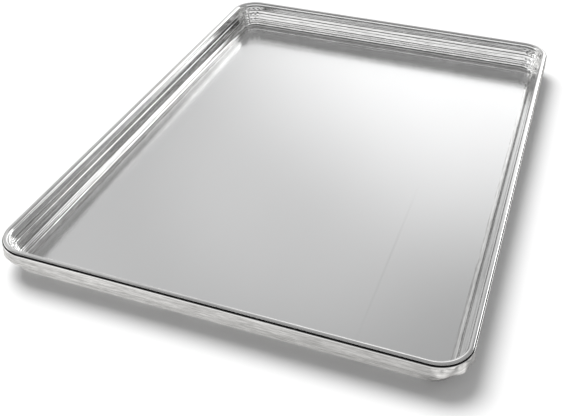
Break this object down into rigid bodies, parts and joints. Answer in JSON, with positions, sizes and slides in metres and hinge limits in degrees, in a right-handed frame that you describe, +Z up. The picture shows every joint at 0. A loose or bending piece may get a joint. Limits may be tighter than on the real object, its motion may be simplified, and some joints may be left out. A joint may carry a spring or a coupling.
{
  "type": "sheet pan",
  "caption": "Half-size bakery sheet pan: shallow rectangular aluminium tray with tapered stepped walls, rounded corners and a rim rolled over a steel wire.",
  "frame": {"origin": "middle of the footprint, on the surface the pan stands on", "axes": "+Z up out of the tray, +Y along the long sides, +X along the short sides"},
  "size_m": [0.327, 0.454, 0.0254],
  "materials": {
    "aluminium_sheet": "natural satin, brushed along the walls",
    "galvanised_wire": "galvanised, dull"
  },
  "bodies": {
    "root": {"pan_shell": "aluminium_sheet", "rim_wire": "galvanised_wire"}
  },
  "joints": []
}
